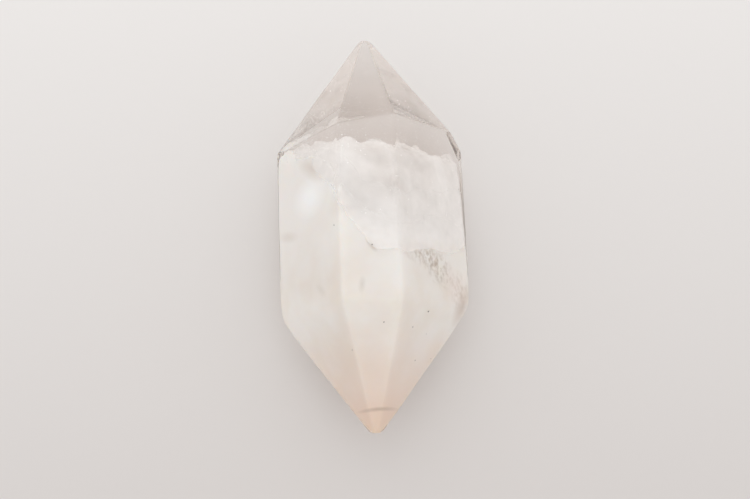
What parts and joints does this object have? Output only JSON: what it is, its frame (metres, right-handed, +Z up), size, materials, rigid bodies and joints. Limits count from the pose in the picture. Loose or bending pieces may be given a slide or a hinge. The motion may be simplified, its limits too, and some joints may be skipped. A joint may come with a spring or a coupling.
{
  "type": "double terminated quartz crystal",
  "caption": "Polished quartz crystal, a six-sided prism with a six-sided pyramid at each end; one end is clear and the rest is milky.",
  "frame": {"origin": "on the surface that the crystal lies on, under the middle of its bounding box", "axes": "+Y along the long axis, towards the clear tip; +Z up, away from the side it lies on; +X to the right when the clear tip points away"},
  "size_m": [0.057, 0.118, 0.0482],
  "materials": {
    "quartz": "polished"
  },
  "bodies": {
    "root": {"crystal": "quartz"}
  },
  "joints": []
}
